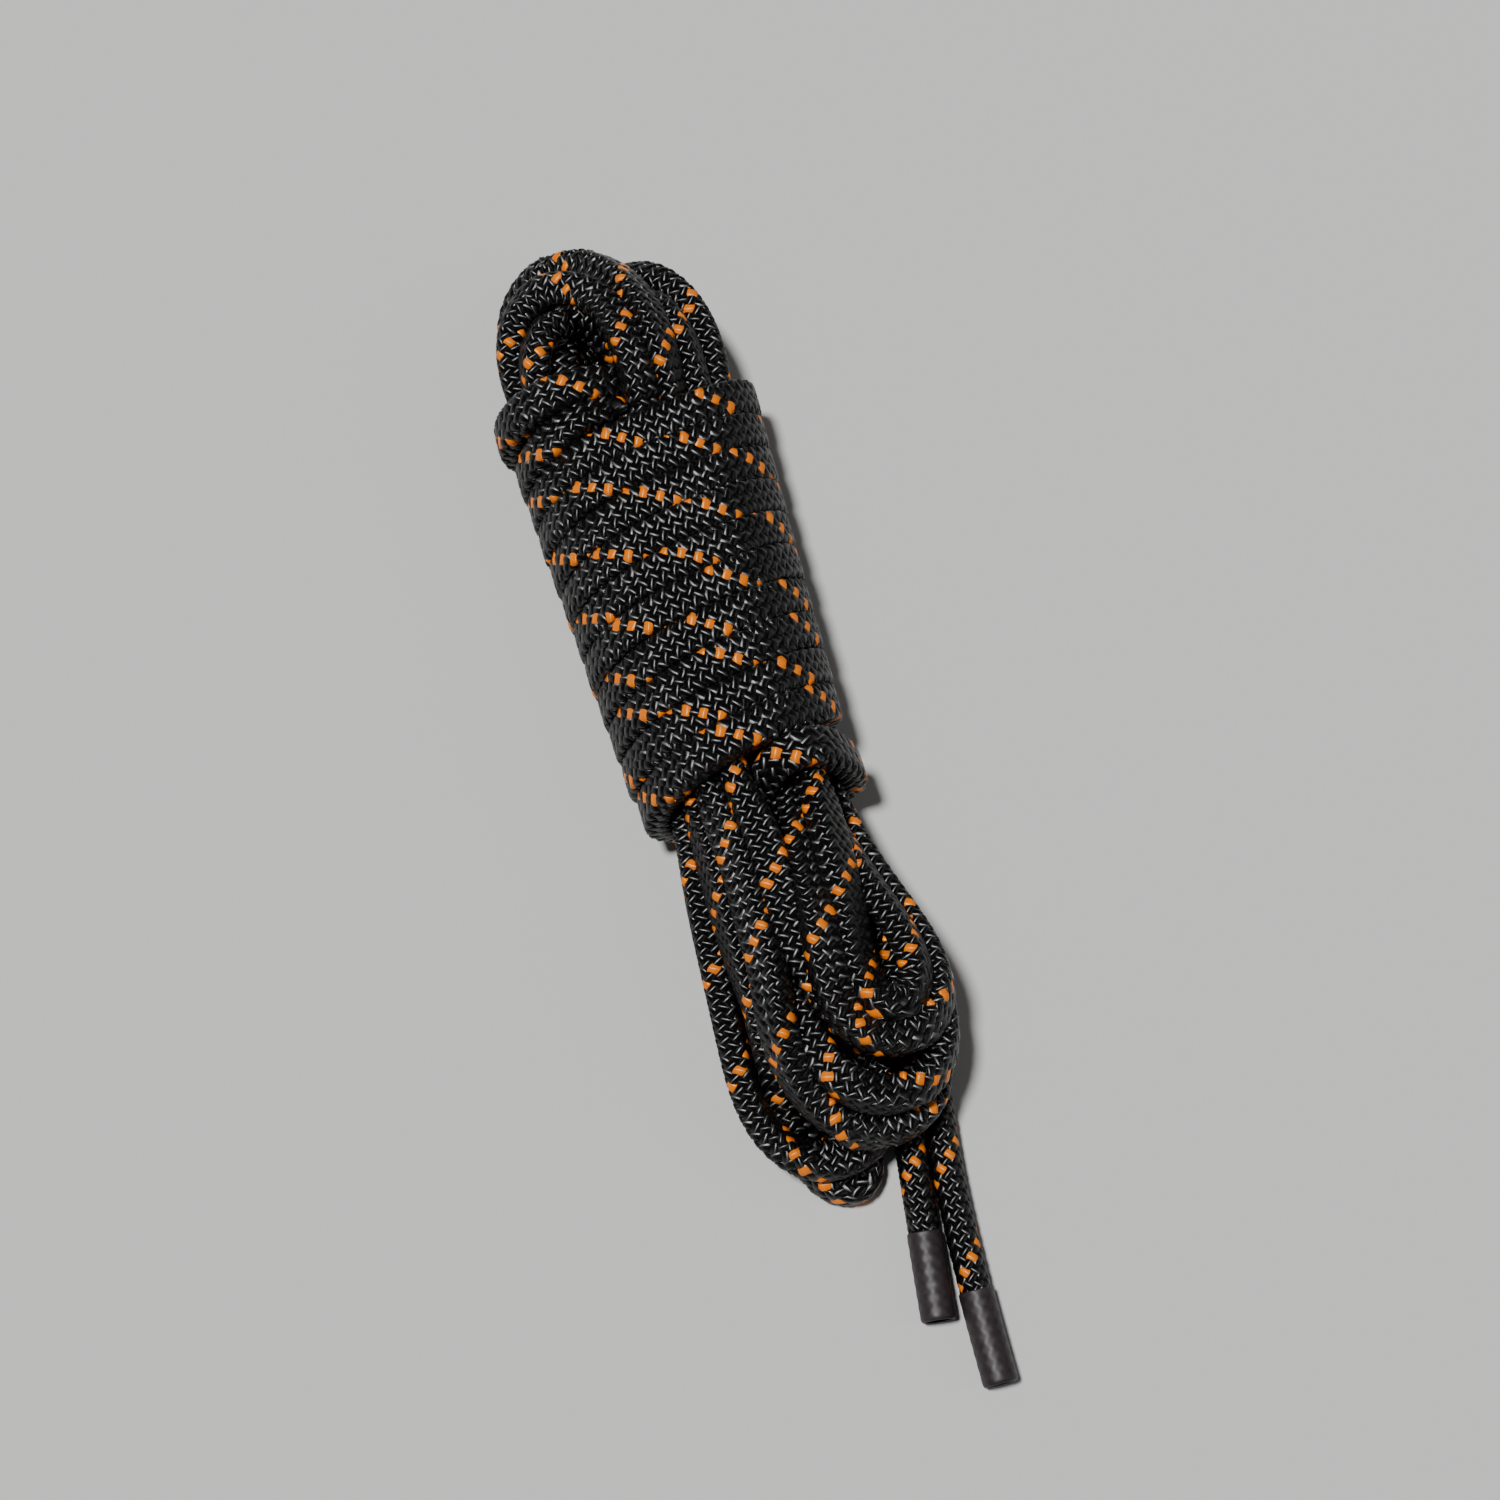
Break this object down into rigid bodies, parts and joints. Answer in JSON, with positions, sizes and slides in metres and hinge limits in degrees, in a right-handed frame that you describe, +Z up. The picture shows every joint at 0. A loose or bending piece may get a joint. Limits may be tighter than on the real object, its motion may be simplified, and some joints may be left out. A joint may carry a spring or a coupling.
{
  "type": "dynamic climbing rope",
  "caption": "Braided kernmantle rope folded into a flat hank and wrapped round its own middle, with two sleeved ends.",
  "frame": {"origin": "middle of the whole object's box in plan, at the surface that the hank lies on", "axes": "+Y along the hank from the free ends towards the upper loops, +Z up out of the resting surface, +X to the right seen from above with the upper loops away"},
  "size_m": [0.08, 0.3702, 0.0525],
  "materials": {
    "sheath_black": "glossy black nylon yarn, braided",
    "tracer_orange": "glossy orange nylon yarn",
    "core_white": "satin white nylon yarn",
    "melted_nylon": "dull melted nylon",
    "heat_shrink": "matte dark grey polyolefin"
  },
  "bodies": {
    "root": {"upper_loops": "sheath_black", "waist_wraps": "sheath_black", "lower_loops": "sheath_black", "left_end_sheath": "sheath_black", "right_end_sheath": "sheath_black", "left_end_core_yarns": "core_white", "right_end_core_yarns": "core_white", "left_end_melted_tip": "melted_nylon", "right_end_melted_tip": "melted_nylon", "left_end_sleeve": "heat_shrink", "right_end_sleeve": "heat_shrink"}
  },
  "joints": []
}
